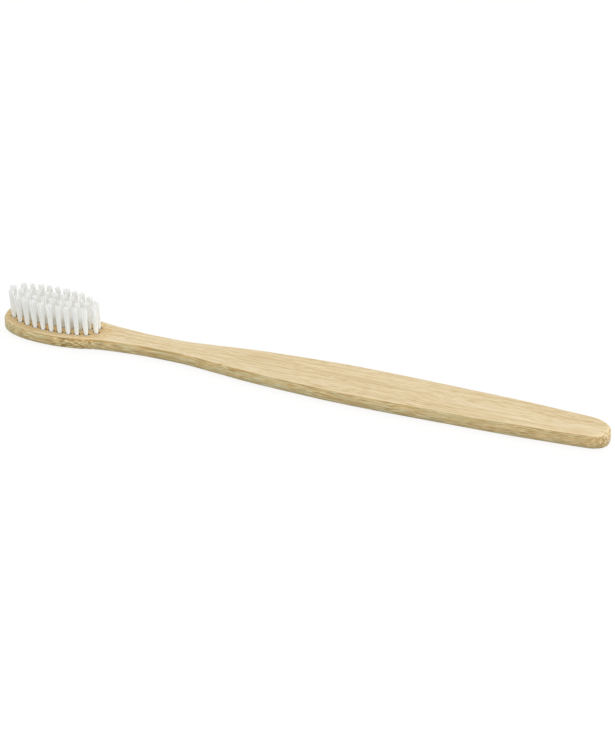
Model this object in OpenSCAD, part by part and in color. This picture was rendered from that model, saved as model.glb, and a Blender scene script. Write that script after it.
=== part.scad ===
// A manual toothbrush that lies on its back: one flat bamboo handle, nylon tufts that are
// folded into blind holes in its head, and a small metal anchor across the fold of each tuft.
// X runs along the brush, from the toe of the head to the tail, and the bristles point up.
// The origin is on the underside, halfway along and midway across.

/* [Handle] */
// Length of the brush from the toe of the head to the tail
brush_l = 188; // [180:1:200]
// Widest part of the head
head_w = 13.6; // [12.8:0.1:15]
// Distance from the toe to the widest part of the head
head_mid_x = 16.5; // [15:0.5:18]
// Distance from the toe to the point where the top starts to slope up
head_l = 44; // [40:1:48]
// Narrowest part of the neck
neck_w = 6.4; // [5.5:0.1:8]
// Distance from the toe to the narrowest part of the neck
neck_x = 50.5; // [48:0.5:56]
// Widest part of the grip
grip_w = 13.6; // [12:0.1:16]
// Distance from the toe to the widest part of the grip
grip_x = 112; // [105:1:120]
// Width where the round end of the tail starts
tail_w = 9.2; // [8.6:0.1:11]
// Width that the sides would reach at the very end if it were not round
tail_end_w = 8.4; // [7:0.1:8.5]
// Length of the round end of the tail
tail_round_l = 6.8; // [5:0.1:9]
// Thickness of the head
head_t = 4.25; // [4:0.05:6]
// Thickness at the tail
tail_t = 5.25; // [4.2:0.05:7]
// Radius of the edge round the top
top_edge_r = 0.6; // [0.3:0.05:0.9]
// Radius of the edge round the underside
under_edge_r = 1; // [0.5:0.05:1.5]

/* [Tuft holes] */
// Diameter of a tuft hole
hole_d = 1.65; // [1.5:0.01:1.75]
// Depth of a tuft hole
hole_depth = 3.1; // [2.9:0.05:3.4]
// Number of columns of tufts along the head
column_count = 11; // [9:1:11]
// Spacing of the columns along the head
column_spacing = 2.63; // [2.4:0.01:2.7]
// Distance from the toe to the first column
toe_margin = 3.2; // [2.9:0.05:3.4]
// Distance from the side of the head to the outer tufts, where the head is widest
side_margin = 2.4; // [2:0.05:2.5]
// Number of tufts in the widest columns
row_count = 4; // [2:1:4]

/* [Tufts] */
// Height of the bristle tips above the head
bristle_h = 9.4; // [7:0.1:12]
// How far the outer strands of a tuft lean out between the root and the tips
tuft_flare = 0.18; // [0:0.01:0.25]
// Width of one bristle strand, corner to corner
strand_w = 0.34; // [0.2:0.01:0.36]
// How far the strands are sunk into the folded root
strand_seat = 0.3; // [0.1:0.05:0.3]
// How far the folded root stays below the face of the head
root_recess = 0.25; // [0.1:0.05:0.4]
// Gap between the folded root and its hole
root_gap = 0.05; // [0.02:0.01:0.08]

/* [Anchors] */
// How far each end of an anchor bites into the wood beside the hole
anchor_bite = 0.2; // [0.1:0.01:0.25]
// Thickness of the anchor's sheet metal
anchor_t = 0.25; // [0.15:0.01:0.35]
// Height of an anchor
anchor_h = 1.4; // [1:0.05:1.6]
// Thickness of the fold of nylon that lies under the anchor
fold_t = 0.6; // [0.4:0.05:0.8]
// Gap round an anchor
anchor_gap = 0.03; // [0.01:0.01:0.05]

/* [Hidden] */
// Powers of the rounded outlines, where 2 is an ellipse and a larger one is squarer
toe_power = 2.5;
tail_power = 2.4;
field_power = 2.1;
// Reach of the oval of tufts past its last column, as a share of their spacing
field_reach_share = 0.15;
// Shares of the way from the widest part of the head to the neck, each with the share
// of the fall in width that is reached there
head_fall_shares = [[0.22, 0.20], [0.43, 0.65], [0.63, 0.85], [0.87, 0.99]];
// The same from the neck to the widest part of the grip
grip_rise_shares = [[0.09, 0.015], [0.27, 0.30], [0.46, 0.635], [0.675, 0.845], [0.9, 0.99]];
// The same from the widest part of the grip to the tail
tail_fall_shares = [[0.145, 0.035], [0.405, 0.22], [0.665, 0.43], [0.865, 0.74]];
// Strands of one tuft: an inner and an outer ring
inner_strands = 3;
outer_strands = 7;
// Radius of the inner ring as a share of the outer ring's
inner_ring_share = 0.45;
// Number of steps along the toe, the sides and the tail, and round an edge
toe_steps = 14;
side_steps = 44;
tail_steps = 10;
edge_steps = 3;
// Number of steps round a hole, and of sides on a folded root and on a strand
hole_steps = 20;
root_sides = 8;
strand_sides = 3;
// Smallest number of a column that needs two digits in a tuft's name
two_digits_from = 10;
// How far a cut runs past the face that it opens
overrun = 0.5;

// Distance from the toe to the round end of the tail
tail_x = brush_l - tail_round_l;
// Distance from the middle to the outer tufts, where the head is widest
outer_row_y = head_w / 2 - side_margin;
// The folded root of a tuft
root_r = hole_d / 2 - root_gap;
root_top_z = head_t - root_recess;
root_bottom_z = head_t - hole_depth + root_gap;
// The outer ring of strands, at the root and at the tips
base_ring_r = root_r - strand_w / 2;
tip_ring_r = base_ring_r + tuft_flare;
tip_z = head_t + bristle_h;
// The anchor
anchor_l = hole_d + 2 * anchor_bite;
anchor_z = root_bottom_z + fold_t;

// Outline of the handle

// Distances from the toe at which the half width is given
knot_x = concat(
    [head_mid_x],
    [for (s = head_fall_shares) head_mid_x + s[0] * (neck_x - head_mid_x)],
    [neck_x],
    [for (s = grip_rise_shares) neck_x + s[0] * (grip_x - neck_x)],
    [grip_x],
    [for (s = tail_fall_shares) grip_x + s[0] * (tail_x - grip_x)],
    [tail_x, brush_l]);

// Half widths at those distances
knot_y = concat(
    [head_w / 2],
    [for (s = head_fall_shares) (head_w + s[1] * (neck_w - head_w)) / 2],
    [neck_w / 2],
    [for (s = grip_rise_shares) (neck_w + s[1] * (grip_w - neck_w)) / 2],
    [grip_w / 2],
    [for (s = tail_fall_shares) (grip_w + s[1] * (tail_w - grip_w)) / 2],
    [tail_w / 2, tail_end_w / 2]);

last_knot = len(knot_x) - 1;

// Slope of the straight line from knot i to the next
function chord(i) = (knot_y[i + 1] - knot_y[i]) / (knot_x[i + 1] - knot_x[i]);

// Slope of the curve at knot i: none at a widest or narrowest place, and otherwise
// the harmonic mean of the two chords, so that the curve never overshoots
function knot_slope(i) =
    i == 0 ? 0
    : i == last_knot ? chord(i - 1)
    : chord(i - 1) * chord(i) <= 0 ? 0
    : 2 * chord(i - 1) * chord(i) / (chord(i - 1) + chord(i));

// Index of the knot at or before the distance x
function knot_before(x, i = 0) =
    i >= last_knot - 1 || x < knot_x[i + 1] ? i : knot_before(x, i + 1);

// Cubic through the knots on both sides of x, with their slopes
function side_y(x) =
    let (
        i = knot_before(x),
        gap = knot_x[i + 1] - knot_x[i],
        u = (x - knot_x[i]) / gap
    )
    knot_y[i] * (1 + 2 * u) * (1 - u) * (1 - u)
    + gap * knot_slope(i) * u * (1 - u) * (1 - u)
    + knot_y[i + 1] * u * u * (3 - 2 * u)
    + gap * knot_slope(i + 1) * u * u * (u - 1);

// Share of the full width that is left at u of the way round an oval end
function oval(u, power) = pow(max(0, 1 - pow(min(1, u), power)), 1 / power);

// Half width of the handle at the distance x from the toe
function half_w(x) =
    x < head_mid_x
        ? head_w / 2 * oval((head_mid_x - x) / head_mid_x, toe_power)
        : side_y(x) * oval(max(0, x - tail_x) / tail_round_l, tail_power);

// Height of the top face: level over the head, then sloping up to the tail
function top_z(x) = head_t + (tail_t - head_t) * max(0, x - head_l) / (brush_l - head_l);

// Distances from the toe at which the outline has a point
station_x = concat(
    [for (i = [0 : toe_steps - 1]) head_mid_x * (1 - cos(90 * i / toe_steps))],
    [for (i = [0 : side_steps - 1]) head_mid_x + (tail_x - head_mid_x) * i / side_steps],
    [for (i = [0 : tail_steps]) tail_x + tail_round_l * sin(90 * i / tail_steps)]);

last_station = len(station_x) - 1;
ring_count = 2 * last_station;

// The outline in plan: from the toe along one side to the tail, and back along the other
outline = concat(
    [for (i = [0 : last_station]) [station_x[i], -half_w(station_x[i])]],
    [for (i = [last_station - 1 : -1 : 1]) [station_x[i], half_w(station_x[i])]]);

// Unit normal that points out of the outline at point i
function outline_normal(i) =
    let (
        run = outline[(i + 1) % ring_count] - outline[(i + ring_count - 1) % ring_count]
    )
    [run[1], -run[0]] / norm(run);

// The outline drawn in by a distance
function inset_outline(inset) =
    [for (i = [0 : ring_count - 1]) outline[i] - inset * outline_normal(i)];

// Rings of points from the underside to the top, round both edges
function under_ring(a) =
    [for (p = inset_outline(under_edge_r * (1 - sin(a))))
        [p[0], p[1], under_edge_r * (1 - cos(a))]];

function top_ring(a) =
    [for (p = inset_outline(top_edge_r * (1 - cos(a))))
        [p[0], p[1], top_z(p[0]) - top_edge_r * (1 - sin(a))]];

body_rings = concat(
    [for (k = [0 : edge_steps]) under_ring(90 * k / edge_steps)],
    [for (k = [0 : edge_steps]) top_ring(90 * k / edge_steps)]);

last_ring = len(body_rings) - 1;

// Triangles of the wall between two rings, and of the flat faces at both ends
wall_faces = [
    for (k = [0 : last_ring - 1])
        for (i = [0 : ring_count - 1])
            for (half = [0, 1])
                let (
                    a = k * ring_count + i,
                    b = k * ring_count + (i + 1) % ring_count
                )
                half == 0 ? [a, a + ring_count, b] : [b, a + ring_count, b + ring_count]];

function cap_faces(first, up) = [
    for (i = [0 : last_station - 1])
        for (half = [0, 1])
            let (
                near = first + i,
                near_next = first + i + 1,
                far = first + (ring_count - i) % ring_count,
                far_next = first + (ring_count - i - 1) % ring_count,
                face = half == 0 ? [near, near_next, far_next] : [near, far_next, far]
            )
            if (face[0] != face[1] && face[1] != face[2] && face[0] != face[2])
                up ? [face[2], face[1], face[0]] : face];

module handle_body() {
    translate([-brush_l / 2, 0, 0])
        polyhedron(
            points = [for (ring = body_rings) for (p = ring) p],
            faces = concat(
                wall_faces,
                cap_faces(0, false),
                cap_faces(last_ring * ring_count, true)));
}

// Places of the tufts

field_half = (column_count - 1) / 2;

function column_x(c) = toe_margin + c * column_spacing - brush_l / 2;

// Share of the full width that the oval of the field leaves to column c
function column_share(c) =
    oval(abs(c - field_half) / (field_half + field_reach_share), field_power);

// Number of tufts in column c
function column_tufts(c) = 1 + ceil((row_count - 1) * column_share(c));

// Place of tuft r across the brush, where the tufts of a column are evenly spaced
function tuft_y(c, r) =
    outer_row_y * column_share(c) * (2 * r / (column_tufts(c) - 1) - 1);

// Every tuft as its column and its place across the column, counted from the near side
tufts = [for (c = [0 : column_count - 1]) for (r = [0 : column_tufts(c) - 1]) [c, r]];

function tuft_name(t) =
    str("tuft_c", t[0] + 1 < two_digits_from ? "0" : "", t[0] + 1, "_r", t[1] + 1);

module at_tuft(t) {
    translate([column_x(t[0]), tuft_y(t[0], t[1]), 0])
        children();
}

// The pieces

// A blind hole for one tuft, with the two narrow grooves that its anchor cuts on its way in
module tuft_hole() {
    translate([0, 0, head_t - hole_depth])
        cylinder(d = hole_d, h = hole_depth + overrun, $fn = hole_steps);
    groove_l = anchor_l + 2 * anchor_gap;
    groove_w = anchor_t + 2 * anchor_gap;
    groove_z = anchor_z - anchor_gap;
    translate([-groove_l / 2, -groove_w / 2, groove_z])
        cube([groove_l, groove_w, head_t + overrun - groove_z]);
}

module handle() {
    color([0.89, 0.80, 0.65])
        difference() {
            handle_body();
            for (t = tufts)
                at_tuft(t)
                    tuft_hole();
        }
}

// Corners of a strand's three sided section, round a centre at the angle a and radius r.
// One corner points at the middle of the tuft and the flat side between the others faces out.
function strand_ring(a, r, z) =
    [for (k = [0 : strand_sides - 1])
        let (turn = a + 180 + 360 * k / strand_sides)
        [r * cos(a) + strand_w / 2 * cos(turn), r * sin(a) + strand_w / 2 * sin(turn), z]];

// One straight bristle strand, which leans out from the root to the tips
module strand(a, share) {
    polyhedron(
        points = concat(
            strand_ring(a, share * base_ring_r, root_top_z - strand_seat),
            strand_ring(a, share * tip_ring_r, tip_z)),
        faces = [
            [0, 1, 2], [5, 4, 3],
            [0, 3, 1], [1, 3, 4],
            [1, 4, 2], [2, 4, 5],
            [2, 5, 0], [0, 5, 3]]);
}

// The folded root of a tuft, with the slot that its anchor passes through
module tuft_root() {
    slot_w = anchor_t + 2 * anchor_gap;
    slot_h = anchor_h + 2 * anchor_gap;
    difference() {
        translate([0, 0, root_bottom_z])
            cylinder(r = root_r, h = root_top_z - root_bottom_z, $fn = root_sides);
        translate([-anchor_l / 2, -slot_w / 2, anchor_z - anchor_gap])
            cube([anchor_l, slot_w, slot_h]);
    }
}

module tuft() {
    color([0.93, 0.94, 0.93])
        union() {
            tuft_root();
            for (k = [0 : inner_strands - 1])
                strand(360 * k / inner_strands, inner_ring_share);
            for (k = [0 : outer_strands - 1])
                strand(360 * (k + 1 / 2) / outer_strands, 1);
        }
}

// The anchors: one small plate across the fold of every tuft
module anchors() {
    color([0.80, 0.70, 0.45])
        for (t = tufts)
            at_tuft(t)
                translate([-anchor_l / 2, -anchor_t / 2, anchor_z])
                    cube([anchor_l, anchor_t, anchor_h]);
}

handle();
for (t = tufts) at_tuft(t) tuft();
anchors();
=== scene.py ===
# %% [markdown]
# # A bamboo toothbrush
#
# The real brush is made of three kinds of thing. The handle is one flat piece of bamboo, cut
# from a board and sanded round its edges. In its head are 38 blind holes, and each holds a
# bundle of nylon filament that was folded in two and driven in. Across each fold lies a small
# brass plate, the anchor, which bites into the bamboo on both sides and keeps the bundle in.
#
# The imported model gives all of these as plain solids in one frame: X runs from the toe of the
# head to the tail, and Z points up, out of the bristles. This script keeps every place and
# size, and gives each piece its finished surface.

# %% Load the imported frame
import math

import bmesh
import bpy
import numpy as np
from mathutils import Matrix, Vector


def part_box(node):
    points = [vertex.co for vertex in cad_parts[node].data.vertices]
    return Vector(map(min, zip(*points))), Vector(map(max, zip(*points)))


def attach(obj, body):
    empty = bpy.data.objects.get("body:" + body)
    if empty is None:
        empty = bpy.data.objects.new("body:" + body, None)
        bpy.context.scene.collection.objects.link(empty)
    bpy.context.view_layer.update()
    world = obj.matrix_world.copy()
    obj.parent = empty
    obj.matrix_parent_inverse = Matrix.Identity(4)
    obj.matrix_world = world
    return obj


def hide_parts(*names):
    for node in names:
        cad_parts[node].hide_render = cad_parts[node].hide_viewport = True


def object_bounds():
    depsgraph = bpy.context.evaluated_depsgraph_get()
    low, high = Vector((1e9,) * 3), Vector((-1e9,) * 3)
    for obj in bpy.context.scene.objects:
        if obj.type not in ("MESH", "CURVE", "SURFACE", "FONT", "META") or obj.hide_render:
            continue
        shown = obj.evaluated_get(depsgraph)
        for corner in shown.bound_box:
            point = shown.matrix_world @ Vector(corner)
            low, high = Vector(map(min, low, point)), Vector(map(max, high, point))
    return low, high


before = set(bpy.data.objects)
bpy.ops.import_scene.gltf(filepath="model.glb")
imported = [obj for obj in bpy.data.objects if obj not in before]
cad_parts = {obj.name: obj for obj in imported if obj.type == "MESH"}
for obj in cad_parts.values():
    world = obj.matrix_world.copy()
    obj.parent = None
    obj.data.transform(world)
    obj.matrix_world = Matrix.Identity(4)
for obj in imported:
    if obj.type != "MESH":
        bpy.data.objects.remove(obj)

MM = 0.001
cad_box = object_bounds()
print("packed box in mm:", [[round(value / MM, 2) for value in corner] for corner in cad_box])

# %% [markdown]
# ## Putting surfaces into meshes
#
# Every new piece here is a surface that numpy works out as whole arrays of points. It could
# be modelled by hand, but then a size couldn't be changed later. Sizes are written in
# millimetres, as on a drawing, and one helper turns them into metres and puts them into a
# Blender mesh. Two others give the faces: of a grid of points, which is what a surface of two
# parameters becomes, and of closed tubes.

# %% Helpers for meshes
def new_piece(name, points, faces):
    """Makes an object at the origin from points in millimetres and lists of corners."""
    mesh = bpy.data.meshes.new(name)
    mesh.from_pydata((np.asarray(points) * MM).tolist(), [], [list(face) for face in faces])
    mesh.validate()
    mesh.update()
    piece = bpy.data.objects.new(name, mesh)
    bpy.context.scene.collection.objects.link(piece)
    return piece


def grid_faces(rows, columns, closed):
    """Corners of the faces between row r and r + 1 and between column c and c + 1, where a
    closed grid joins its last column to its first."""
    steps = columns if closed else columns - 1
    r, c = np.meshgrid(np.arange(rows - 1), np.arange(steps), indexing="ij")
    right = (c + 1) % columns
    corners = [r * columns + c, r * columns + right]
    corners += [(r + 1) * columns + right, (r + 1) * columns + c]
    return np.stack(corners, axis=-1).reshape(-1, 4)


def tube_faces(count, rings, sides):
    """Faces of closed tubes, each with its rings of points one after another: the walls of all,
    then a cap over each first ring, then one over each last."""
    first = np.arange(count)[:, None] * rings * sides
    walls = first[:, :, None] + grid_faces(rings, sides, closed=True)
    ring = np.arange(sides)
    starts = first + ring[::-1]
    ends = first + (rings - 1) * sides + ring
    return walls.reshape(-1, 4).tolist() + starts.tolist() + ends.tolist()


print("faces of a tube of 2 rings of 5 points:", len(tube_faces(1, 2, 5)))


# %% Helpers that finish a piece
def merge_and_smooth(piece, sharp_angle):
    """Merges points that lie on each other, turns the faces outwards and shades them smooth,
    apart from edges that are sharper than the angle in degrees."""
    merge_distance = 1e-4 * MM
    shape = bmesh.new()
    shape.from_mesh(piece.data)
    bmesh.ops.remove_doubles(shape, verts=shape.verts, dist=merge_distance)
    bmesh.ops.recalc_face_normals(shape, faces=shape.faces)
    shape.to_mesh(piece.data)
    shape.free()
    piece.data.shade_smooth()
    piece.data.set_sharp_from_angle(angle=math.radians(sharp_angle))


def add_attribute(piece, name, domain, values):
    """Stores one number for each point or face of the piece under a name."""
    attribute = piece.data.attributes.new(name, "FLOAT", domain)
    attribute.data.foreach_set("value", values.astype(np.float32))


def set_material(piece, material):
    """Gives the piece this material alone."""
    piece.data.materials.clear()
    piece.data.materials.append(material)


print("made: merge_and_smooth, add_attribute, set_material")

# %% [markdown]
# ## The camera
#
# The photograph was taken from the near side of the brush, a little towards the tail and well
# above it, and from far away: the upright tufts stay parallel in it. So the camera stands
# 1.2 m off with a long lens. It could be turned by eye until the picture looks right. Its
# angles and its lens were fitted to the outline of the brush instead, because an error of one
# degree shows. The lens follows from the focal length in pixels of the photograph, because
# Blender lays its 36 mm sensor along the longer side of the picture.

# %% Make the camera
photo_height_px = 735
focal_px = 4047.4
sensor_mm = 36.0
camera_azimuth = math.radians(17.67)
camera_elevation = math.radians(38.88)
camera_distance = 1.2
# The point that the camera looks at: its height, and its shifts to the right and up the view
target_z = 2.5 * MM
target_right = 1.45 * MM
target_up = 2.40 * MM

view_right = Vector((math.cos(camera_azimuth), math.sin(camera_azimuth), 0))
view_back = Vector((
    math.sin(camera_azimuth) * math.cos(camera_elevation),
    -math.cos(camera_azimuth) * math.cos(camera_elevation),
    math.sin(camera_elevation),
))
view_up = view_back.cross(view_right)

camera_data = bpy.data.cameras.new("camera")
camera_data.sensor_width = sensor_mm
camera_data.lens = focal_px / photo_height_px * sensor_mm
camera = bpy.data.objects.new("camera", camera_data)
bpy.context.scene.collection.objects.link(camera)
turn = Matrix((view_right, view_up, view_back)).transposed().to_4x4()
target = Vector((0, 0, target_z)) + view_right * target_right + view_up * target_up
camera.matrix_world = Matrix.Translation(target + view_back * camera_distance) @ turn
bpy.context.scene.camera = camera
print("lens in mm:", round(camera_data.lens, 2))

# %% [markdown]
# ## Materials from nodes
#
# A material here is a tree of nodes, which could be wired up by hand in the shader editor. A
# script says the same in fewer words, and keeps every value in sight. The helpers below add a
# node and fill its inputs: an input that is given another node's output is linked to it, and
# any other value is set on the socket itself.

# %% Helpers for nodes
def fill_inputs(tree, sockets, values):
    """Links each named socket to its value, if that is a node's output, or else sets it."""
    for name, value in values.items():
        if isinstance(value, bpy.types.NodeSocket):
            tree.links.new(value, sockets[name])
        else:
            sockets[name].default_value = value


def add_node(tree, kind, inputs=None, **settings):
    """Adds a node of a kind, sets its properties and fills its inputs."""
    node = tree.nodes.new(kind)
    for name, value in settings.items():
        setattr(node, name, value)
    fill_inputs(tree, node.inputs, inputs or {})
    return node


def calculate(tree, operation, first, second, kind="ShaderNodeMath"):
    """Result of an operation on two values, or on two vectors with their kind of node."""
    return add_node(tree, kind, {0: first, 1: second}, operation=operation).outputs[0]


def mix_colors(tree, share, first, second, blend="MIX"):
    """Colour that is the first at a share of 0 and the second, or their blend, at 1. The node
    has several inputs of one name, so they are told apart by their identifiers."""
    node = add_node(tree, "ShaderNodeMix", data_type="RGBA", blend_type=blend)
    sockets = {socket.identifier: socket for socket in node.inputs}
    fill_inputs(tree, sockets, {"Factor_Float": share, "A_Color": first, "B_Color": second})
    return next(s for s in node.outputs if s.identifier == "Result_Color")


print("made: fill_inputs, add_node, calculate, mix_colors")


# %% Helpers for shares and materials
def band(tree, value, limits, to_low=0.0, to_high=1.0):
    """Share that goes smoothly from to_low at the first limit to to_high at the second."""
    inputs = {"Value": value, "From Min": limits[0], "From Max": limits[1],
              "To Min": to_low, "To Max": to_high}
    return add_node(
        tree, "ShaderNodeMapRange", inputs, interpolation_type="SMOOTHSTEP"
    ).outputs["Result"]


def scaled(tree, vector, along, across):
    """Coordinates in cells: X times the cells per mm along, Y and Z times those across."""
    scale = (along / MM, across / MM, across / MM)
    return add_node(
        tree, "ShaderNodeMapping", {"Vector": vector, "Scale": scale}
    ).outputs["Vector"]


def split(tree, vector):
    """The X, Y and Z of a vector."""
    return add_node(tree, "ShaderNodeSeparateXYZ", {"Vector": vector}).outputs


def new_material(name):
    """A new material, its tree of nodes, and the shader in it."""
    material = bpy.data.materials.new(name)
    material.use_nodes = True
    return material, material.node_tree, material.node_tree.nodes["Principled BSDF"]


print("made: band, scaled, split, new_material")

# %% [markdown]
# ## Bamboo
#
# Bamboo is a pale, soft ground full of straight, hard bundles that run the length of the stem.
# On a face cut along the stem a bundle shows as a fine darker line, and where the cut crosses
# the stem it shows as a brown dot. Both come from one pattern in space: a set of cells over Y
# and Z alone, which is the same at every X. Wherever the surface cuts that pattern it gives
# the right mark by itself, so the rounded tail shows dots and the flat faces show lines. An
# image wrapped round the handle wouldn't do that, so all of the wood is made of patterns in
# space, on Object coordinates.

# %% Start the bamboo
bamboo, wood, shader = new_material("bamboo")
place = add_node(wood, "ShaderNodeTexCoord").outputs
position = place["Object"]


def step(value, limits, to_low=0.0, to_high=1.0):
    """A band in the tree of the bamboo."""
    return band(wood, value, limits, to_low, to_high)


def product(*values):
    """All the values multiplied together."""
    result = values[0]
    for value in values[1:]:
        result = calculate(wood, "MULTIPLY", result, value)
    return result


def mix_values(share, first, second):
    """The first value at a share of 0 and the second at 1, and in a straight line between."""
    return add_node(
        wood, "ShaderNodeMapRange", {"Value": share, "To Min": first, "To Max": second}
    ).outputs["Result"]


print("material:", bamboo.name)

# %% [markdown]
# ## The grain
#
# A slow noise pushes every pattern sideways, so that the lines wander as real ones do. The
# bundles are the cells of a Voronoi texture over the cross section. The finer marks between
# them are noise, stretched along the brush: broad layers, long lines, thin fibres, short
# streaks, torn lines and rough spots. Slower ones let the marks fade and gather in patches.

# %% Let the grain wander
wander_mm = 0.9
noise_middle = (0.5, 0.5, 0.5)
vector_math = "ShaderNodeVectorMath"
wander = add_node(
    wood, "ShaderNodeTexNoise",
    {"Vector": scaled(wood, position, along=0.028, across=0.12), "Scale": 1.0, "Detail": 2.0},
).outputs["Color"]
centred = calculate(wood, "SUBTRACT", wander, noise_middle, vector_math)
wander_reach = (0, wander_mm * MM, wander_mm * MM)
offset = calculate(wood, "MULTIPLY", centred, wander_reach, vector_math)
grain = calculate(wood, "ADD", position, offset, vector_math)
print("the grain wanders by up to", wander_mm / 2, "mm each way")

# %% Bundles and dashes
bundles_per_mm = 1.7
parts = split(wood, scaled(wood, grain, along=1.0, across=bundles_per_mm))
section = add_node(wood, "ShaderNodeCombineXYZ", {"X": parts["Y"], "Y": parts["Z"]})
bundles = add_node(
    wood, "ShaderNodeTexVoronoi",
    {"Vector": section.outputs["Vector"], "Scale": 1.0, "Randomness": 0.9},
    voronoi_dimensions="2D",
).outputs["Distance"]
dashes = add_node(
    wood, "ShaderNodeTexVoronoi",
    {"Vector": scaled(wood, grain, along=0.20, across=1.6), "Scale": 1.0, "Randomness": 1.0},
).outputs["Distance"]
print("bundles are about", round(1 / bundles_per_mm, 2), "mm apart")


# %% Noises along the grain
def noise(along, across, detail=2.0, roughness=0.6):
    """Noise in the grain of the bamboo, with cells of 1 / along by 1 / across mm."""
    return add_node(
        wood, "ShaderNodeTexNoise",
        {"Vector": scaled(wood, grain, along, across), "Scale": 1.0, "Detail": detail,
         "Roughness": roughness},
    ).outputs["Fac"]


layers = noise(along=0.010, across=0.42, roughness=0.5)
lines = noise(along=0.050, across=2.5)
fibres = noise(along=0.06, across=3.6)
short = noise(along=0.27, across=3.3)
torn = noise(along=0.20, across=4.3, detail=1.0, roughness=0.5)
rough = noise(along=0.9, across=2.4, detail=1.0)
hue = noise(along=0.13, across=1.9)
fading = noise(along=0.035, across=0.50, roughness=0.5)
breaks = noise(along=0.07, across=0.50, roughness=0.5)
patches = noise(along=0.045, across=0.20, roughness=0.5)
print("nodes of the grain:", len(wood.nodes))

# %% [markdown]
# ## Where the wood changes
#
# One board shows many kinds of wood. Its sides are cut through other layers of the stem than
# its top: they are darker, with streaks of orange and olive. Towards the underside the wood
# turns darker still: partly because the bundles lie closer towards the skin of the stem, which
# is the underside here, and partly as painted shade on the lower side. Where the side turns in
# from the head to the neck, the cutter met the fibres at a slant and tore them into short dark
# and pale lines. Sanding wore the upper half of the rounded edge pale, a band that is also a
# painted highlight, and below it the edge is darker, in a broken brown line, but not round the
# end of the tail, whose end grain is painted paler towards its very tip, as a painted
# highlight. The side of the toe is a little paler too. Drilling and driving roughened the wood
# round the tufts. The top of the head is darker, partly browned wood and partly painted shade
# of the tufts; between the tufts the wood is painted darker still, as the shade that they
# cast, and the walls of the holes are painted darkest, as their shade.
#
# These zones could be painted by hand on the mesh. Here each is a share from 0 to 1 instead,
# because a share follows the shape by itself. It comes from the way that the surface faces,
# from the place in the brush, or from the attribute "cut", which the body gets when it is
# drilled. All of them are fixed to the brush, so it looks the same from every side.

# %% Shares from the way that the surface faces
# The Z of the way that a face looks is 1 on the top, 0 on the side and -1 underneath, and its
# X is 1 at the very end of the tail and -1 at the toe. In each pair of values, here and below,
# a share starts at the first and is full at the second
side_facing = (0.90, 0.40)
top_facing = (0.80, 0.95)
tail_facing = (0.15, 0.55)
toe_facing = (-0.45, -0.95)

facing = split(wood, place["Normal"])
upright = calculate(wood, "ABSOLUTE", facing["Z"], 0.0)
side_share = step(upright, side_facing)
top_share = step(facing["Z"], top_facing)
tail_share = step(facing["X"], tail_facing)
toe_share = step(facing["X"], toe_facing, to_high=0.8)
end_share = calculate(wood, "ADD", tail_share, toe_share)
print("nodes with the ways of facing:", len(wood.nodes))

# %% Shares from the place along the brush
# Places are in millimetres from the middle of the brush, and heights from its underside
head_brown_and_shade_x = (-62.0, -84.0)
toe_side_x = (-76.0, -82.0)
torn_x = (-58.0, -68.0)
warm_x = (25.0, 90.0)
skin_and_shade_z = (3.2, 0.0)
slant_facing = (-0.05, 0.015)
tail_tip_highlight_facing = (0.55, 1.0)
tail_tip_highlight_upper_facing = (0.75, 0.35)

spot = split(wood, position)


def along_brush(places, to_low=0.0, to_high=1.0):
    """Share that goes from to_low to to_high between two places along the brush."""
    return step(spot["X"], (places[0] * MM, places[1] * MM), to_low, to_high)


# Darker towards the underside: partly the denser wood near the skin, partly painted shade of the
# lower side
skin_and_shade_share = product(
    step(spot["Z"], (skin_and_shade_z[0] * MM, skin_and_shade_z[1] * MM)), mix_values(side_share, 0.4, 1.0))
# The top and edge of the head are darker: partly browned wood, partly painted shade of the tufts
head_brown_and_shade_share = product(along_brush(head_brown_and_shade_x), mix_values(side_share, 1.0, 0.0))
warm_share = product(along_brush(warm_x), side_share)
toe_side_share = product(along_brush(toe_side_x), side_share)
# The end grain at the very tip of the tail is painted paler, as a painted highlight
tip_highlight_share = product(step(facing["X"], tail_tip_highlight_facing), step(facing["Z"], tail_tip_highlight_upper_facing))
slant_share = product(
    step(facing["X"], slant_facing), side_share, along_brush(torn_x, to_low=0.25))
print("nodes with the places:", len(wood.nodes))

# %% Shares of the wood round the tufts
# The field of tufts is an oval on the head. The pairs are distances from its middle, as
# shares of the way to its rim
field_middle_x = -77.65
field_half_l = 14.5
field_half_w = 5.0
tuft_shade_distance = (1.12, 0.88)
rough_distance = (1.42, 1.12)
rough_values = (0.54, 0.42)


def field_distance(tree, position):
    """Distance from the middle of the field of tufts, as a share of the way to its rim: the
    length of (x / half length, y / half width), measured from the middle."""
    from_middle = add_node(tree, "ShaderNodeMapping", {
        "Vector": position, "Location": (-field_middle_x / field_half_l, 0, 0),
        "Scale": (1 / field_half_l / MM, 1 / field_half_w / MM, 0)}).outputs["Vector"]
    return add_node(tree, vector_math, {0: from_middle}, operation="LENGTH").outputs["Value"]


from_field = field_distance(wood, position)
# The wood between the tufts is painted darker, as the shade that the tufts cast
tuft_shade_share = product(step(from_field, tuft_shade_distance), top_share)
rough_share = product(
    step(from_field, rough_distance, to_high=0.75), top_share, step(rough, rough_values))
# The faces marked "cut" are the walls of the holes, painted darker as the shade in the holes
hole_shade_share = add_node(wood, "ShaderNodeAttribute", attribute_name="cut").outputs["Fac"]
print("field of tufts in mm:", 2 * field_half_l, "by", 2 * field_half_w)

# %% Shares of the brown line and the worn edge, which is partly a painted highlight
rim_lower_facing = (0.10, 0.35)
rim_upper_facing = (0.90, 0.68)
rim_x = (46.0, 12.0)
rim_toe_x = (-84.0, -76.0)
rim_values = (0.36, 0.60)
wear_and_highlight_upper_facing = (0.998, 0.96)
wear_and_highlight_toe_x = (-76.0, -58.0)
wear_and_highlight_values = (0.38, 0.58)

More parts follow.
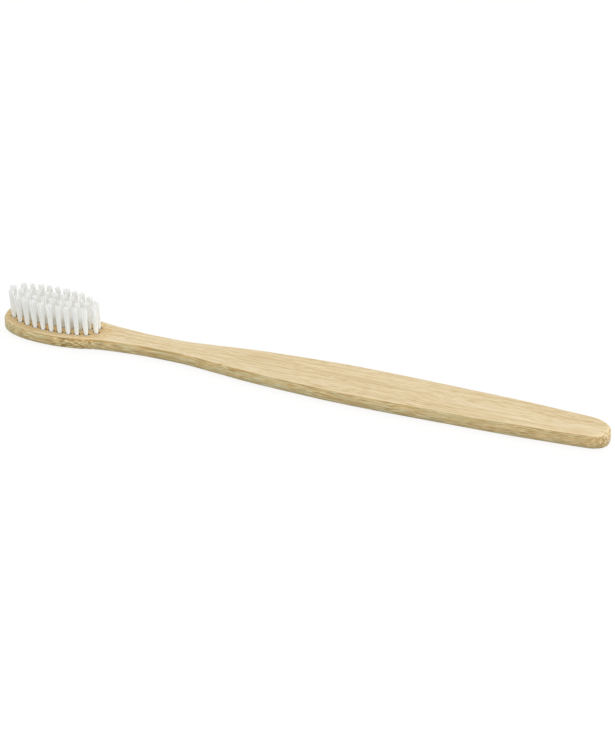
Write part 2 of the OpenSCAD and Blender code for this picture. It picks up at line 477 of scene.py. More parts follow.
rim_share = product(
    step(facing["Z"], rim_lower_facing), step(facing["Z"], rim_upper_facing),
    along_brush(rim_x, to_low=0.35), along_brush(rim_toe_x, to_low=0.2),
    step(breaks, rim_values, to_low=0.25), mix_values(tail_share, 1.0, 0.0))
wear_and_highlight_lower_facing = (mix_values(tail_share, 0.55, 0.15), mix_values(tail_share, 0.80, 0.50))
# The upper half of the rounded edge is paler: partly wear, partly a painted highlight
wear_and_highlight_share = product(
    step(facing["Z"], wear_and_highlight_lower_facing), step(facing["Z"], wear_and_highlight_upper_facing),
    along_brush(wear_and_highlight_toe_x, to_low=0.7), step(fading, wear_and_highlight_values, to_low=0.15, to_high=0.60),
    mix_values(tail_share, 1.0, 0.6))
print("nodes with all the shares:", len(wood.nodes))

# %% [markdown]
# ## Marks, coats and relief
#
# The colour is built up as a painter would do it. First comes the ground, and then each mark
# is laid on it: a pattern, the values at which the mark is absent and full, how deep it may
# be, and its colour. Over the marks go coats. A tint is multiplied into what is there, as
# thin stain is, and the rough wood and the worn edge cover it. Some tints are painted shade,
# and the pale worn edge is also a painted highlight. The order matters: the edge was sanded
# last, so its wear comes last.
#
# The fibres also give the surface a slight relief and an uneven gloss, because they are harder
# than the ground between them.

# %% Colours of the ground and the marks
ground_color = (0.806, 0.666, 0.426, 1)
pale_color = (0.870, 0.746, 0.511, 1)
line_color = (0.610, 0.440, 0.200, 1)
bundle_color = (0.420, 0.260, 0.095, 1)
dot_color = (0.370, 0.265, 0.115, 1)
dash_color = (0.480, 0.290, 0.110, 1)
torn_color = (0.900, 0.725, 0.400, 1)
torn_dark_color = (0.375, 0.218, 0.075, 1)
print("brightness of a line, on the ground's:", round(line_color[1] / ground_color[1], 2))

# %% How deep the marks are
# The sides show the marks more strongly than the top, whose numbers come first in each pair
# of mixed values. The ends show fewer lines, and full dots in place of the bundles
fade_values = (0.40, 0.62)
fibre_depth = 0.35

line_depth = product(mix_values(side_share, 0.50, 0.78), mix_values(end_share, 1.0, 0.35))
short_depth = mix_values(
    side_share, step(patches, fade_values, to_low=0.50, to_high=0.80), 1.0)
bundle_depth = product(
    step(fading, fade_values, to_low=0.15), mix_values(side_share, 0.28, 0.50))
bundle_depth = mix_values(end_share, bundle_depth, mix_values(skin_and_shade_share, 0.95, 1.0))
bundle_absent = mix_values(end_share, 0.42, 0.52)
bundle_full = mix_values(end_share, 0.20, 0.32)
dash_start = mix_values(side_share, 0.50, 0.38)
dash_depth = product(step(patches, (dash_start, 0.64)), mix_values(side_share, 0.40, 0.95))
torn_dark_depth = mix_values(tail_share, slant_share, 0.45)
torn_pale_depth = mix_values(tail_share, slant_share, 0.0)
print("nodes with the depths:", len(wood.nodes))

# %% Lay the marks on the ground
layer_values = (0.34, 0.66)
bundle_paint = mix_colors(wood, end_share, bundle_color, dot_color)
torn_paint = mix_colors(wood, tail_share, torn_dark_color, dash_color)
# Pattern, value at which the mark is absent, value at which it is full, depth, and colour
marks = [
    (lines, 0.58, 0.34, line_depth, line_color),
    (fibres, 0.62, 0.30, fibre_depth, line_color),
    (short, 0.54, 0.34, short_depth, line_color),
    (bundles, bundle_absent, bundle_full, bundle_depth, bundle_paint),
    (dashes, 0.42, 0.18, dash_depth, dash_color),
    (torn, 0.53, 0.43, torn_dark_depth, torn_paint),
    (torn, 0.53, 0.61, torn_pale_depth, torn_color),
]
color = mix_colors(wood, step(layers, layer_values), ground_color, pale_color)
for pattern, absent, full, depth, paint in marks:
    color = mix_colors(wood, product(step(pattern, (absent, full)), depth), color, paint)
print("marks:", len(marks))

# %% Colours of the coats
# A tint is multiplied into the colour that is there, and a colour covers it
side_tint = (1.060, 1.150, 1.200, 1)
orange_tint = (1.000, 0.820, 0.600, 1)
olive_tint = (0.850, 0.885, 0.790, 1)
end_tint = (1.005, 1.015, 0.950, 1)
# The underside tint is partly the darker skin of the stem and partly painted shade
skin_and_shade_tint = (0.680, 0.715, 0.735, 1)
# Head tint: partly browned wood, partly painted shade of the tufts
head_brown_and_shade_tint = (0.860, 0.835, 0.760, 1)
rough_color = (0.670, 0.435, 0.165, 1)
# Painted shade of the tufts on the wood between them
tuft_shade_tint = (0.820, 0.720, 0.580, 1)
rim_tint = (0.790, 0.650, 0.460, 1)
# Painted shade inside the holes
hole_shade_tint = (0.420, 0.300, 0.180, 1)
toe_tint = (1.030, 1.120, 1.240, 1)
toe_side_tint = (1.050, 1.090, 1.110, 1)
# Painted highlight on the end of the tail
tail_tip_highlight_tint = (1.100, 1.160, 1.340, 1)
warm_tint = (0.950, 0.905, 0.865, 1)
# Colour of the worn edge, which is also a painted highlight
worn_and_highlight_color = (0.880, 0.732, 0.468, 1)
print("darkest tint:", hole_shade_tint[:3])

# %% Lay the coats over the marks
hue_values = (0.36, 0.64)
hue_depth = 0.70
side_hue = mix_colors(wood, step(hue, hue_values), orange_tint, olive_tint)
side_paint = mix_colors(wood, hue_depth, side_tint, side_hue, "MULTIPLY")
side_paint = mix_colors(wood, end_share, side_paint, end_tint)
coats = [
    (side_share, side_paint, "MULTIPLY"), (skin_and_shade_share, skin_and_shade_tint, "MULTIPLY"),
    (head_brown_and_shade_share, head_brown_and_shade_tint, "MULTIPLY"), (rough_share, rough_color, "MIX"),
    (tuft_shade_share, tuft_shade_tint, "MULTIPLY"), (rim_share, rim_tint, "MULTIPLY"),
    (hole_shade_share, hole_shade_tint, "MULTIPLY"), (toe_share, toe_tint, "MULTIPLY"),
    (toe_side_share, toe_side_tint, "MULTIPLY"), (tip_highlight_share, tail_tip_highlight_tint, "MULTIPLY"),
    (warm_share, warm_tint, "MULTIPLY"), (wear_and_highlight_share, worn_and_highlight_color, "MIX"),
]
for share, paint, blend in coats:
    color = mix_colors(wood, share, color, paint, blend)
print("coats:", len(coats))

# %% Finish the bamboo
relief_mm = 0.04
relief_strength = 0.25
fibre_values = (0.3, 0.7)
least_roughness = 0.52
most_roughness = 0.64
relief = add_node(wood, "ShaderNodeBump", {
    "Height": fibres, "Strength": relief_strength, "Distance": relief_mm * MM})
roughness = step(fibres, fibre_values, least_roughness, most_roughness)
fill_inputs(wood, shader.inputs, {
    "Base Color": color, "Roughness": roughness, "Normal": relief.outputs["Normal"],
    "Specular IOR Level": 0.35})
print("bamboo nodes:", len(wood.nodes))

# %% [markdown]
# ## Nylon
#
# Toothbrush filament is clear nylon with a little white in it, and a bundle of it looks milky,
# with fine bright and grey streaks where single filaments catch the light or shade each other.
# So the finish is a milky white, and each filament has a tone of its own.
#
# Less light comes down between the tufts than to those at the rim, and the stems there are
# painted a little darker low down. That shade is fixed to the brush. The tips have been
# ground round, and their colour is painted whiter, as a painted highlight of the light that
# they scatter.

# %% Make the nylon
stem_color = (0.932, 0.954, 0.915, 1)
bright_color = (0.972, 0.986, 0.952, 1)
# The tips are painted whiter, as a painted highlight of the light that they scatter
tip_highlight_color = (0.985, 0.996, 0.975, 1)
shade_tint = (0.680, 0.665, 0.605, 1)
head_t = 4.25
tip_z = cad_box[1].z / MM
tip_highlight_mm = 1.6
shade_z = (head_t + 5.5, head_t + 1.5)
shade_distance = (0.90, 0.68)
stem_roughness = 0.34
tip_roughness = 0.50
nylon_ior = 1.53

nylon, tree, shader = new_material("nylon")
place = add_node(tree, "ShaderNodeTexCoord").outputs
height = split(tree, place["Object"])["Z"]
tone = add_node(tree, "ShaderNodeAttribute", attribute_name="tone").outputs["Fac"]
color = mix_colors(tree, tone, stem_color, bright_color)
# Share of the painted highlight on the last part of each bristle
tip_highlight_share = band(tree, height, ((tip_z - tip_highlight_mm) * MM, tip_z * MM))
color = mix_colors(tree, tip_highlight_share, color, tip_highlight_color)
inside_share = band(tree, field_distance(tree, place["Object"]), shade_distance)
low_share = band(tree, height, (shade_z[0] * MM, shade_z[1] * MM))
shade_share = calculate(tree, "MULTIPLY", inside_share, low_share)
color = mix_colors(tree, shade_share, color, shade_tint, "MULTIPLY")
roughness = band(tree, tip_highlight_share, (0.0, 1.0), stem_roughness, tip_roughness)
fill_inputs(tree, shader.inputs, {
    "Base Color": color, "Roughness": roughness, "IOR": nylon_ior})
print("nylon nodes:", len(tree.nodes))

# %% [markdown]
# ## Brass
#
# The anchors are punched from thin brass strip and sit deep in the holes, under the surface of
# the head. Little of them shows, but they are metal all the same: rolled strip has fine lines
# along it and dulls unevenly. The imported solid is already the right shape, so the CAD node
# stays and only gets this finish.

# %% Make the brass and put it on the anchors
brass_color = (0.780, 0.590, 0.270, 1)
dull_color = (0.560, 0.400, 0.180, 1)
dull_values = (0.35, 0.70)
gloss_values = (0.3, 0.7)
bright_roughness = 0.22
dull_roughness = 0.42

brass, tree, shader = new_material("brass")
place = add_node(tree, "ShaderNodeTexCoord").outputs
rolled = add_node(
    tree, "ShaderNodeTexNoise",
    {"Vector": scaled(tree, place["Object"], along=1.2, across=14.0), "Scale": 1.0,
     "Detail": 2.0},
).outputs["Fac"]
color = mix_colors(tree, band(tree, rolled, dull_values), brass_color, dull_color)
roughness = band(tree, rolled, gloss_values, bright_roughness, dull_roughness)
fill_inputs(tree, shader.inputs, {
    "Base Color": color, "Roughness": roughness, "Metallic": 1.0})

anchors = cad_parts["anchors"]
set_material(anchors, brass)
print("anchor faces:", len(anchors.data.polygons))

# %% [markdown]
# ## The outline of the handle
#
# Seen from above, the handle is a round toe, a head, a narrow neck, a slim grip and a rounded
# tail. It could be drawn as a Bezier curve and filled. A function of the place along the brush
# was chosen, because it gives the exact width anywhere, in the numbers of the drawing.
#
# The half width is given at a few places along the brush as shares of the way between its
# widest and narrowest places, and a cubic joins them. The slope at each is the harmonic mean
# of the slopes on both sides, so the curve never swings past a point. The two ends are ovals,
# a little squarer than an ellipse.

# %% Sizes along the handle
brush_l = (cad_box[1].x - cad_box[0].x) / MM
head_w = (cad_box[1].y - cad_box[0].y) / MM
head_mid_x = 16.5
head_l = 44.0
neck_w = 6.4
neck_x = 50.5
grip_w = 13.6
grip_x = 112.0
tail_w = 9.2
tail_end_w = 8.4
tail_round_l = 6.8
tail_t = 5.25
toe_power = 2.5
tail_power = 2.4
tail_x = brush_l - tail_round_l
# Shares of the way from one place to the next, and of the change in width reached there
head_fall = np.array([[0.22, 0.20], [0.43, 0.65], [0.63, 0.85], [0.87, 0.99]])
grip_rise = np.array([[0.09, 0.015], [0.27, 0.30], [0.46, 0.635], [0.675, 0.845], [0.9, 0.99]])
tail_fall = np.array([[0.145, 0.035], [0.405, 0.22], [0.665, 0.43], [0.865, 0.74]])
print("brush in mm:", round(brush_l, 2), "by", round(head_w, 2))


# %% Knots of the curve
def between(shares, start_x, end_x, start_w, end_w):
    """Distances and half widths: start plus each share of the way to the end."""
    x = start_x + shares[:, 0] * (end_x - start_x)
    return x, (start_w + shares[:, 1] * (end_w - start_w)) / 2


stretches = [
    ([head_mid_x], [head_w / 2]),
    between(head_fall, head_mid_x, neck_x, head_w, neck_w),
    ([neck_x], [neck_w / 2]),
    between(grip_rise, neck_x, grip_x, neck_w, grip_w),
    ([grip_x], [grip_w / 2]),
    between(tail_fall, grip_x, tail_x, grip_w, tail_w),
    ([tail_x, brush_l], [tail_w / 2, tail_end_w / 2]),
]
knot_x = np.concatenate([stretch[0] for stretch in stretches])
knot_y = np.concatenate([stretch[1] for stretch in stretches])
chords = np.diff(knot_y) / np.diff(knot_x)
same_way = chords[:-1] * chords[1:] > 0
chord_sum = np.where(same_way, chords[:-1] + chords[1:], 1)
knot_slope = np.zeros(len(knot_x))
knot_slope[1:-1] = np.where(same_way, 2 * chords[:-1] * chords[1:] / chord_sum, 0)
knot_slope[-1] = chords[-1]
print("knots:", len(knot_x))


# %% Width and height anywhere along the handle
def oval(u, power):
    """Share of the full width at u of the way round an oval end: (1 - u^p)^(1/p)."""
    return (1 - np.clip(u, 0, 1) ** power) ** (1 / power)


def side_y(x):
    """Cubic between the knots before and after x. With u the share of the way between them,
    the knot before gives its height times (1 + 2u) plus its slope times the gap times u, all
    times (1 - u) squared. The knot after gives its height times (3 - 2u) plus its slope times
    the gap times (u - 1), all times u squared."""
    i = np.clip(np.searchsorted(knot_x, x, side="right") - 1, 0, len(knot_x) - 2)
    gap = knot_x[i + 1] - knot_x[i]
    u = (x - knot_x[i]) / gap
    start = knot_y[i] * (1 + 2 * u) + gap * knot_slope[i] * u
    end = knot_y[i + 1] * (3 - 2 * u) + gap * knot_slope[i + 1] * (u - 1)
    return start * (1 - u) ** 2 + end * u ** 2


def half_w(x):
    """Half width at the distance x from the toe: half the head's width times an oval up to
    the middle of the head, and from there the cubic times an oval over the tail's round."""
    toe = head_w / 2 * oval((head_mid_x - x) / head_mid_x, toe_power)
    rest = side_y(x) * oval((x - tail_x) / tail_round_l, tail_power)
    return np.where(x < head_mid_x, toe, rest)


def top_z(x):
    """Height of the top: level over the head, then straight up to the tail's thickness."""
    return head_t + (tail_t - head_t) * np.clip((x - head_l) / (brush_l - head_l), 0, 1)


print("narrowest in mm:", round(2 * half_w(neck_x).item(), 2))

# %% Points round the outline
toe_steps = 44
side_steps = 260
tail_steps = 36
quarter = math.pi / 2
station_x = np.concatenate([
    head_mid_x * (1 - np.cos(quarter * np.arange(toe_steps) / toe_steps)),
    head_mid_x + (tail_x - head_mid_x) * np.arange(side_steps) / side_steps,
    tail_x + tail_round_l * np.sin(quarter * np.arange(tail_steps + 1) / tail_steps),
])
near_side = np.stack([station_x, -half_w(station_x)], axis=1)
far_side = near_side[-2:0:-1] * (1, -1)
outline = np.concatenate([near_side, far_side])
run = np.roll(outline, -1, axis=0) - np.roll(outline, 1, axis=0)
outward = np.stack([run[:, 1], -run[:, 0]], axis=1)
outward /= np.linalg.norm(run, axis=1, keepdims=True)
print("outline points:", len(outline))

# %% [markdown]
# ## The body of the handle
#
# The real handle was sawn from a board and its edges were sanded round. The outline could be
# extruded and bevelled. But the upper edge was sanded by hand, so its radius isn't the same
# everywhere: it shrinks from the head to the grip and grows again at the tail's end, and a
# bevel has one width. So the body is worked out as one closed surface of two parameters.
#
# One goes round the outline. The other goes across the thickness: from the middle of the
# underside out to its edge, round the lower edge, up the side, round the upper edge, and in to
# the middle of the top. Each step across is the outline drawn in by some distance and set at
# some height. One extra ring lies just inside each edge, so that the flat faces stay flat in
# the shading right up to it.

# %% Rounded edges
head_edge_r = 0.85
grip_edge_r = 0.5
tail_edge_r = 1.3
under_edge_r = 1.0
edge_steps = 8
edge_ring_gap = 0.08

# At the angle a round the lower edge of radius r, the outline is drawn in by r (1 - sin a) and
# lies r (1 - cos a) up. Round the upper edge it is drawn in by r (1 - cos a) and lies
# r (1 - sin a) below the top
angles = quarter * np.arange(edge_steps + 1) / edge_steps
level = np.zeros((1, len(outline)))
under_inset = level + under_edge_r * (1 - np.sin(angles))[:, None]
under_height = level + under_edge_r * (1 - np.cos(angles))[:, None]
top_edge_r = np.interp(outline[:, 0], [head_l, grip_x, tail_x, brush_l],
                       [head_edge_r, grip_edge_r, grip_edge_r, tail_edge_r])
top_inset = top_edge_r * (1 - np.cos(angles))[:, None]
top_drop = top_edge_r * (1 - np.sin(angles))[:, None]

inset = np.concatenate([
    level + under_edge_r + edge_ring_gap, under_inset, top_inset,
    [top_edge_r + edge_ring_gap]])
height_mm = np.concatenate([level, under_height, -top_drop, level])
hangs_from_top = np.arange(len(inset)) > edge_steps + 1
print("upper edge radius in mm:", round(top_edge_r.min(), 2), "to", round(top_edge_r.max(), 2))

# %% Make the body
# A ring is the outline minus its inset times the outward direction. The first and the last
# are drawn in to a line along the middle, which closes the underside and the top
edge_angle = 35
rings = np.zeros((len(inset), len(outline), 3))
rings[:, :, :2] = outline - inset[:, :, None] * outward
rings[:, :, 2] = height_mm + hangs_from_top[:, None] * top_z(rings[:, :, 0])
under_middle = rings[:1] * (1, 0, 1)
top_middle = rings[-1:] * (1, 0, 1)
body = np.concatenate([under_middle, rings, top_middle])
middle = (brush_l / 2, 0, 0)
handle = new_piece(
    "bamboo_handle", body.reshape(-1, 3) - middle,
    grid_faces(len(body), len(outline), closed=True))
merge_and_smooth(handle, edge_angle)
print("handle faces before the holes:", len(handle.data.polygons))

# %% [markdown]
# ## The holes for the tufts
#
# Each hole is drilled straight down and stops in the wood. As the anchor is driven in it cuts
# two narrow grooves, one on each side of the hole along the brush, and they stay open above
# it: they are the small dark notches at the feet of the tufts. Their mouths are torn a little
# wider than the plate.
#
# The holes could be left out, since tufts fill them, or painted dark. But light and the eye
# reach into them at every foot, so they are real. All 38 drills are one mesh, the chisels
# another and the torn mouths a third, and each is cut from the body by a Boolean that is
# applied at once. Then every face inside a hole is marked in the attribute "cut", where the
# bamboo paints the walls of the holes darker, as painted shade.

# %% Sizes of the holes
hole_d = 1.65
hole_depth = 3.1
hole_sides = 40
anchor_t = 0.25
anchor_bite = 0.2
anchor_gap = 0.03
root_gap = 0.05
fold_t = 0.6
anchor_z = head_t - hole_depth + root_gap + fold_t

tuft_names = sorted(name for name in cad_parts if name.startswith("tuft_"))
boxes = np.array([[list(corner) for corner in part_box(name)] for name in tuft_names]) / MM
tuft_places = boxes.mean(axis=1)[:, :2]
print("tufts:", len(tuft_places), "anchors stand on", round(anchor_z, 2), "mm")


# %% Helpers that cut
def drills(centres, outline_points, low_z, high_z):
    """One upright prism round each centre: its outline at the lower and the upper height."""
    count = len(outline_points)
    levels = np.zeros((len(centres), 2, count, 3))
    levels[..., :2] = centres[:, None, None] + outline_points
    levels[:, 0, :, 2] = low_z
    levels[:, 1, :, 2] = high_z
    return levels.reshape(-1, 3), tube_faces(len(centres), 2, count)


def cut_away(piece, cutter):
    """Takes the cutter's shape out of the piece for good, and removes the cutter."""
    modifier = piece.modifiers.new("cut", "BOOLEAN")
    modifier.operation = "DIFFERENCE"
    modifier.solver = "EXACT"
    modifier.object = cutter
    bpy.context.view_layer.objects.active = piece
    bpy.ops.object.modifier_apply(modifier=modifier.name)
    bpy.data.objects.remove(cutter)


print("a drill for each of", len(tuft_places), "tufts")

# %% Cut the holes
overrun = 0.5
mouth_margin = 0.1
mouth_depth = 0.6

around = 2 * math.pi * np.arange(hole_sides) / hole_sides
hole_outline = hole_d / 2 * np.stack([np.cos(around), np.sin(around)], axis=1)
groove_half_l = hole_d / 2 + anchor_bite + anchor_gap
groove_half_w = anchor_t / 2 + anchor_gap
corner_signs = np.array([[-1, -1], [1, -1], [1, 1], [-1, 1]])
groove_outline = corner_signs * (groove_half_l, groove_half_w)
mouth_outline = corner_signs * (groove_half_l + mouth_margin, groove_half_w + mouth_margin / 2)
cutters = [
    ("drills", hole_outline, head_t - hole_depth),
    ("chisels", groove_outline, anchor_z - anchor_gap),
    ("mouths", mouth_outline, head_t - mouth_depth),
]
for name, cutter_outline, low_z in cutters:
    points, faces = drills(tuft_places, cutter_outline, low_z, head_t + overrun)
    cut_away(handle, new_piece(name, points, faces))
merge_and_smooth(handle, edge_angle)
print("handle faces with the holes:", len(handle.data.polygons))

# %% Mark the cut faces and give the handle its finish
# A face is cut when its middle lies near a tuft's, below the top and above the hole's floor
cut_reach = 0.25
cut_skin = 0.01

centres = np.zeros(len(handle.data.polygons) * 3)
handle.data.polygons.foreach_get("center", centres)
centres = centres.reshape(-1, 3) / MM
reach = np.linalg.norm(centres[:, None, :2] - tuft_places, axis=2).min(axis=1)
sunk = head_t - centres[:, 2]
is_near = reach < groove_half_l + cut_reach
is_cut = is_near & (sunk > cut_skin) & (sunk < hole_depth + cut_skin)
# The bamboo paints these faces darker, as the shade inside the holes
add_attribute(handle, "cut", "FACE", is_cut)
print("faces inside the holes:", is_cut.sum())
set_material(handle, bamboo)
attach(handle, "root")
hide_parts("handle")

# %% [markdown]
# ## One tuft
#
# A tuft is a bundle of filaments, each folded in two under its anchor, so both of its ends
# stand up as bristles. Hair particles or bevelled curves could make it, but neither is easily
# given an exact path round the plate. So a filament is a profile, a small ring of five points,
# carried along a path, and the tubes of a tuft are one mesh. The path comes down from one tip,
# goes under the anchor in half an oval, and rises to the other tip. All filaments of a tuft
# are worked out together, as one array of paths.

# %% Tubes along paths
filaments = 22
filament_r = 0.1
filament_sides = 5


def unit(vectors):
    """Vectors of length one in the same directions."""
    return vectors / np.linalg.norm(vectors, axis=-1, keepdims=True)


def carried_rings(paths, radii):
    """Rings of points round each point of each path: the centre plus the radius times the
    cosine and the sine along two directions that are square to the path. The first of these
    is X with its part along the path taken away."""
    along = unit(np.gradient(paths, axis=1))
    x_axis = np.array([1.0, 0.0, 0.0])
    first = unit(x_axis - (along @ x_axis)[..., None] * along)
    second = np.cross(along, first)
    angle = 2 * math.pi * np.arange(filament_sides) / filament_sides
    offsets = first[:, :, None] * np.cos(angle)[:, None]
    offsets = offsets + second[:, :, None] * np.sin(angle)[:, None]
    return paths[:, :, None] + radii[:, None, None] * offsets


print("width of a filament in mm:", 2 * filament_r)

# %% [markdown]
# ## The bristles and the folds
#
# The ends are packed as the seeds of a sunflower are: each next one is turned by the golden
# angle and lies a little further out, which fills a circle evenly. Random places would leave
# gaps and knots, and a square grid would show its rows. Above the head the bundle opens and
# leans a little towards the toe. Every end also bends by an amount of its own, a few stray
# further, and the ends are of uneven length, because bristles are never cut quite level.

# %% Places of the bristles' ends
bundle_r = 0.60
bundle_shift = -0.06
golden_angle = math.pi * (3 - math.sqrt(5))


def bundle_ends(turn):
    """Places of the ends at the mouth of the hole, in a sunflower: radius times the square
    root of the share of ends placed so far, and the golden angle times their number."""
    k = np.arange(2 * filaments)
    r = bundle_r * np.sqrt((k + 0.5) / len(k))
    angle = k * golden_angle + turn
    return np.stack([r * np.cos(angle) + bundle_shift, r * np.sin(angle)], axis=1)


print("filaments fill the hole to", round((bundle_r + filament_r) / (hole_d / 2), 2))

# %% Stems of the bristles
# Each spread is the usual size of a random amount, in millimetres
bend_spread = 0.11
stray_share = 0.05
stray_factor = 3
end_spread = 0.16
tuft_spread = 0.05
most_short = -0.5
most_long = 0.32
tip_round = 0.1
# Heights of the points of a stem over the head, as shares of the tip's
stem_heights = np.array([0.62, 0.3])
rng = np.random.default_rng(38)


def bristle_stems(ends, lean, flare):
    """Points of each bristle from its tip to the mouth of the hole. With h the share of the
    height above the head, an end lies at its place times (1 + flare h), plus the tuft's lean
    times h, plus its own bend times h squared."""
    own_bend = rng.normal(0, bend_spread, ends.shape)
    strays = rng.random(len(ends)) < stray_share
    own_bend[strays] *= stray_factor
    uneven = rng.normal(0, end_spread, len(ends)) + rng.normal(0, tuft_spread)
    top = tip_z - head_t + np.clip(uneven, most_short, most_long)
    shares = np.concatenate([
        np.ones((len(ends), 1)), 1 - tip_round / top[:, None],
        np.tile(stem_heights, (len(ends), 1)), np.zeros((len(ends), 1))], axis=1)
    flat = ends[:, None] * (1 + flare * shares[..., None])
    flat = flat + lean * shares[..., None] + own_bend[:, None] * shares[..., None] ** 2
    return np.concatenate([flat, head_t + (top[:, None] * shares)[..., None]], axis=2)


print("bristles stand over the head, in mm:", round(tip_z - head_t, 2))

# %% Folds under the anchor
fold_angles = np.radians([0, 60, 120, 180])
fold_top_z = anchor_z + 0.05
fold_clear = anchor_t / 2 + anchor_gap + filament_r
fold_depth_share = 0.85
fold_width_share = 0.65
fold_hang = 0.08


def folds(near, far):
    """Points under the anchor, from the near end to the far end of each filament: half an
    oval that is clear of the plate, and hangs lower the further out the filament lies. At the
    angle a, the share of the way across is (1 - cos a) / 2 and the depth is the drop times
    sin a."""
    near_y = near[:, 1] * fold_width_share - fold_clear
    far_y = far[:, 1] * fold_width_share + fold_clear
    share = (1 - np.cos(fold_angles)) / 2
    reach = (far_y - near_y) / 2
    drop = filament_r + fold_hang + (reach - fold_clear) * fold_depth_share
    x = near[:, :1] + (far[:, :1] - near[:, :1]) * share
    y = near_y[:, None] + (far_y - near_y)[:, None] * share
    z = fold_top_z - drop[:, None] * np.sin(fold_angles)
    return np.stack([x, y, z], axis=2)


print("half width of the inside of a fold in mm:", round(fold_clear, 3))

# %% Lean and paths of one tuft
lean_x = -0.55
lean_x_per_y = -0.03
lean_spread = 0.10
least_flare = 0.32
most_flare = 0.72


def tuft_lean(place):
    """Lean of a tuft at its tips, along and across the brush: lean_x plus Y times
    lean_x_per_y along it, and a random amount each way."""
    return np.array([lean_x + lean_x_per_y * place[1], 0.0]) + rng.normal(0, lean_spread, 2)


def tuft_paths(place):
    """Paths of the filaments of one tuft: a stem, a fold and a stem, moved to its hole."""
    ends = bundle_ends(rng.uniform(0, 2 * math.pi))
    ends = ends[np.argsort(ends[:, 1])]
    near = ends[:filaments]
    far = ends[filaments:]
    # Sorted along the brush too, so that filaments lie side by side under the plate
    near = near[np.argsort(near[:, 0])]
    far = far[np.argsort(far[:, 0])]
    lean = tuft_lean(place)
    flare = rng.uniform(least_flare, most_flare)
    paths = np.concatenate([
        bristle_stems(near, lean, flare), folds(near, far),
        bristle_stems(far, lean, flare)[:, ::-1]], axis=1)
    paths[..., :2] += place
    return paths


print("usual lean of the tips in mm:", -lean_x)

# %% Helper that makes one tuft
tip_round_share = 0.55
filament_angle = 60


def make_tuft(name, place):
    """One tuft: its filaments' paths, the tubes round them, and a tone for each filament."""
    paths = tuft_paths(place)
    radii = np.full(paths.shape[1], filament_r)
    radii[[0, -1]] *= tip_round_share
    points = carried_rings(paths, radii)
    piece = new_piece(
        name, points.reshape(-1, 3), tube_faces(*paths.shape[:2], filament_sides))
    tones = np.repeat(rng.random(filaments), paths.shape[1] * filament_sides)
    add_attribute(piece, "tone", "POINT", tones)
    piece.data.shade_smooth()
    piece.data.set_sharp_from_angle(angle=math.radians(filament_angle))
    set_material(piece, nylon)
    return piece


print("filaments in a tuft:", filaments)

# %% [markdown]
# ## All the tufts
#
# Linked copies of one tuft would be lighter, but the eye soon finds what repeats. So each of
# the 38 tufts is a mesh of its own, at the place of a packed tuft, with its own turn and lean
# from one seeded generator: the tufts differ, and every run gives the same brush.
#
# Real nylon passes light on from filament to filament. With the few bounces of a render, white
# tufts that stand so close would come out grey. So light that bounces off a matt surface
# doesn't see them, while the camera, the lamps and reflections do.

# %% Make the tufts
faces_made = 0
for name, place in zip(tuft_names, tuft_places):
    tuft = make_tuft("bristles_" + name, place)
    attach(tuft, "root")
    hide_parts(name)
    tuft.visible_diffuse = False
    faces_made += len(tuft.data.polygons)
print("tufts:", len(tuft_names), "faces:", faces_made)

# %% [markdown]
# ## Floor, world and lamps
#
# The photograph was taken on plain white with soft light. A floor that is lit until it is
# white would throw too much light up at the brush. So the floor is two papers in one. To the
# camera it adds some light of its own, which reads as white and still keeps a faint shadow
# under the brush. For all other rays it is plain pale grey. The world is white to the camera
# and to reflections in the same way, and lights the object only softly.
#
# Three large lamps stand round the brush, because one would leave its sides too dark. The one
# overhead gives the top face its full colour, and the one in front lights the near side. The
# strongest stands low past the tail, where its light falls on the end grain and only skims
# the top face.

# %% Lay the floor
floor_half = 3000.0
floor_points = np.column_stack([corner_signs * floor_half, np.zeros(len(corner_signs))])
floor = new_piece("floor", floor_points, [[0, 1, 2, 3]])
print("floor in metres:", 2 * floor_half * MM)


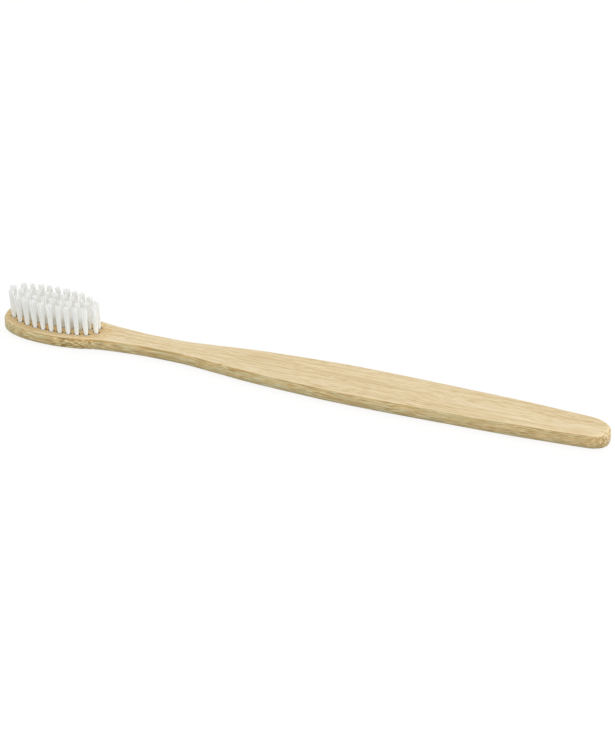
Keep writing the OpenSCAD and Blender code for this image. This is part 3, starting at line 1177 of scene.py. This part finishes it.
# %% Make the paper of the floor
def by_ray(tree, plain, seen):
    """The seen shader for rays from the camera and for rays that were mirrored or passed
    through, and the plain shader for all others."""
    rays = add_node(tree, "ShaderNodeLightPath").outputs
    is_seen = calculate(tree, "MAXIMUM", rays["Is Camera Ray"], rays["Is Glossy Ray"])
    is_seen = calculate(tree, "MAXIMUM", is_seen, rays["Is Transmission Ray"])
    inputs = {0: is_seen, 1: plain.outputs[0], 2: seen.outputs[0]}
    return add_node(tree, "ShaderNodeMixShader", inputs).outputs["Shader"]


paper_color = (0.55, 0.55, 0.55, 1)
seen_paper_color = (0.20, 0.20, 0.20, 1)
seen_glow = 0.82
paper = bpy.data.materials.new("paper")
paper.use_nodes = True
tree = paper.node_tree
tree.nodes.clear()
plain_paper = add_node(tree, "ShaderNodeBsdfDiffuse", {"Color": paper_color})
seen_paper = add_node(tree, "ShaderNodeBsdfDiffuse", {"Color": seen_paper_color})
glow = add_node(tree, "ShaderNodeEmission", {"Strength": seen_glow})
glowing_paper = add_node(
    tree, "ShaderNodeAddShader", {0: seen_paper.outputs["BSDF"], 1: glow.outputs["Emission"]})
add_node(tree, "ShaderNodeOutputMaterial", {"Surface": by_ray(tree, plain_paper, glowing_paper)})
set_material(floor, paper)
print("nodes of the paper:", len(tree.nodes))

# %% Set the world
sky_strength = 0.8
white_color = (1, 1, 1, 1)
world = bpy.data.worlds.new("studio")
world.use_nodes = True
bpy.context.scene.world = world
tree = world.node_tree
tree.nodes.clear()
sky = add_node(tree, "ShaderNodeBackground", {"Color": white_color, "Strength": sky_strength})
white = add_node(tree, "ShaderNodeBackground", {"Color": white_color, "Strength": 1.0})
add_node(tree, "ShaderNodeOutputWorld", {"Surface": by_ray(tree, sky, white)})
print("world:", world.name)


# %% Hang the lamps
def add_lamp(name, place, size, power):
    """A square lamp at a place in metres that faces the origin."""
    data = bpy.data.lights.new(name, "AREA")
    data.size = size
    data.energy = power
    lamp = bpy.data.objects.new(name, data)
    lamp.location = place
    lamp.rotation_euler = Vector(place).to_track_quat("Z", "Y").to_euler()
    bpy.context.scene.collection.objects.link(lamp)


# Name, place in metres, size in metres and power in watts
lamps = [
    ("overhead_lamp", (-0.25, 0.35, 1.3), 1.0, 2.0),
    ("tail_lamp", (1.2, 0.0, 0.22), 0.8, 9.0),
    ("front_lamp", (0.2, -1.2, 0.3), 1.0, 1.8),
]
for lamp in lamps:
    add_lamp(*lamp)
bpy.context.scene.view_settings.view_transform = "Standard"
print("lamps:", len(lamps))
